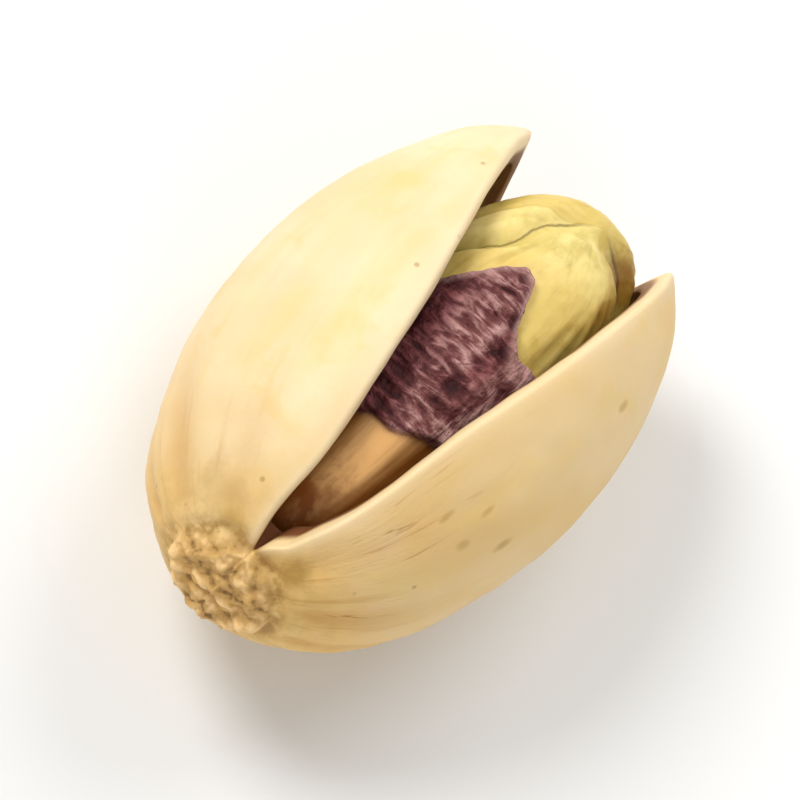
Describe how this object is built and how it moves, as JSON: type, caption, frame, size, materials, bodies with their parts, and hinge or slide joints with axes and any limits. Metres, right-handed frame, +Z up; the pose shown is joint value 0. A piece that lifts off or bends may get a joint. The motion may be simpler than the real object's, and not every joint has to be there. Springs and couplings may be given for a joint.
{
  "type": "pistachio in shell",
  "caption": "Ripe nut lying on its belly with its hard ivory shell gaping along the upper seam, over a yellow-green kernel partly covered by torn purple skin.",
  "frame": {"origin": "middle of the nut's box in plan, at the height of the surface it rests on", "axes": "+X along the nut from the stem scar towards the tip, +Y towards the valve on the left as seen from the scar, +Z up through the open seam"},
  "size_m": [0.0224, 0.0154, 0.0122],
  "materials": {
    "shell": "smooth and bony with a dull sheen, faintly streaked and specked, stained olive-brown round the stem scar",
    "kernel": "waxy yellow-green seed leaves with faint lengthwise wrinkles",
    "skin": "papery and wrinkled purple-brown, smooth and golden brown at the base, with a slight gloss"
  },
  "bodies": {
    "root": {"shell": "shell", "kernel": "kernel", "skin": "skin"}
  },
  "joints": []
}
